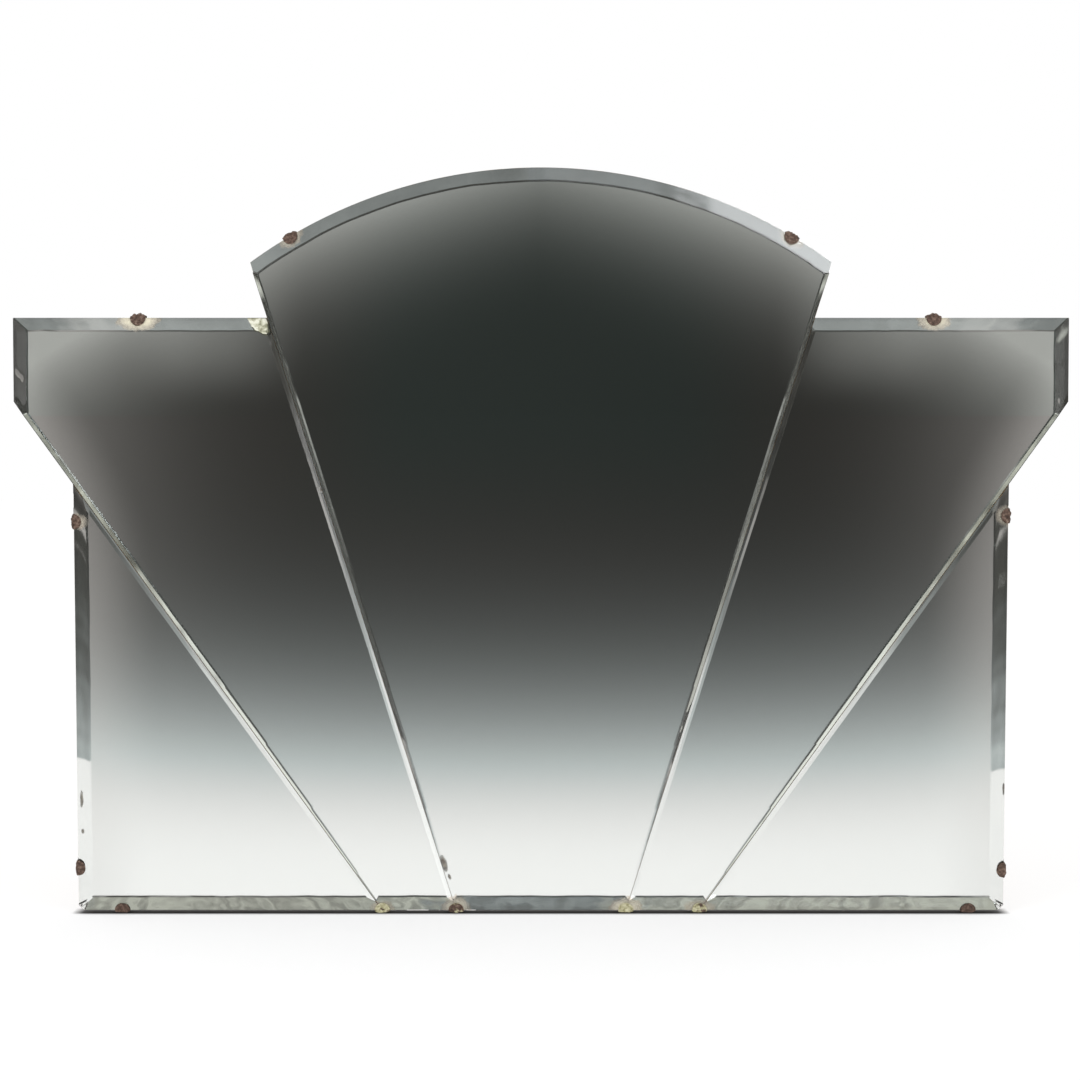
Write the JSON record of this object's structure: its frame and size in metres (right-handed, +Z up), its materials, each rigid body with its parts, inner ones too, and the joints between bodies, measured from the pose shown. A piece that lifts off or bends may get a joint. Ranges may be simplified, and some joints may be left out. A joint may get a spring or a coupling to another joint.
{
  "type": "art deco mirror",
  "caption": "Frameless wall mirror: a fan of silvered, bevelled glass panes on a plywood board, held by edge clips, with swinging hanging rings behind.",
  "frame": {"origin": "on the wall plane, which is the rear face of the wall buffers, on the centre line and level with the lowest faces of the bottom clips", "axes": "+X to the right as seen from the front, +Y into the wall, so the glass faces -Y, and +Z up"},
  "size_m": [0.762, 0.0214, 0.5412],
  "materials": {
    "glass": "polished plate glass with ground and polished bevels",
    "silvering": "silvered, with brown backing paint behind",
    "plywood": "bare plywood",
    "clips": "rusted brown",
    "screws": "dull, aged",
    "hangers": "aged brass",
    "buffers": "matt black rubber"
  },
  "bodies": {
    "mirror": {"backboard": "plywood", "buffer_lower_left": "buffers", "buffer_lower_right": "buffers", "buffer_screws": "screws", "buffer_upper_left": "buffers", "buffer_upper_right": "buffers", "centre_pane": "glass", "centre_silvering": "silvering", "clip_arch_left": "clips", "clip_arch_right": "clips", "clip_bottom_left": "clips", "clip_bottom_right": "clips", "clip_inner_joint_left": "clips", "clip_inner_joint_right": "clips", "clip_outer_joint_left": "clips", "clip_outer_joint_right": "clips", "clip_screws": "screws", "clip_side_lower_left": "clips", "clip_side_lower_right": "clips", "clip_side_upper_left": "clips", "clip_side_upper_right": "clips", "clip_wing_left": "clips", "clip_wing_right": "clips", "hanger_screws": "screws", "hanger_strap_left": "hangers", "hanger_strap_right": "hangers", "left_lower_pane": "glass", "left_lower_silvering": "silvering", "left_wing_pane": "glass", "left_wing_silvering": "silvering", "right_lower_pane": "glass", "right_lower_silvering": "silvering", "right_wing_pane": "glass", "right_wing_silvering": "silvering"},
    "ring_left": {"hanger_ring_left": "hangers"},
    "ring_right": {"hanger_ring_right": "hangers"}
  },
  "joints": [
    {"name": "ring_left_swing", "type": "hinge", "parent": "mirror", "child": "ring_left", "pos_m": [-0.215, -0.00667, 0.4022], "axis": [1, 0, 0], "range_deg": [0, 180]},
    {"name": "ring_right_swing", "type": "hinge", "parent": "mirror", "child": "ring_right", "pos_m": [0.215, -0.00667, 0.4022], "axis": [1, 0, 0], "range_deg": [0, 180]}
  ]
}
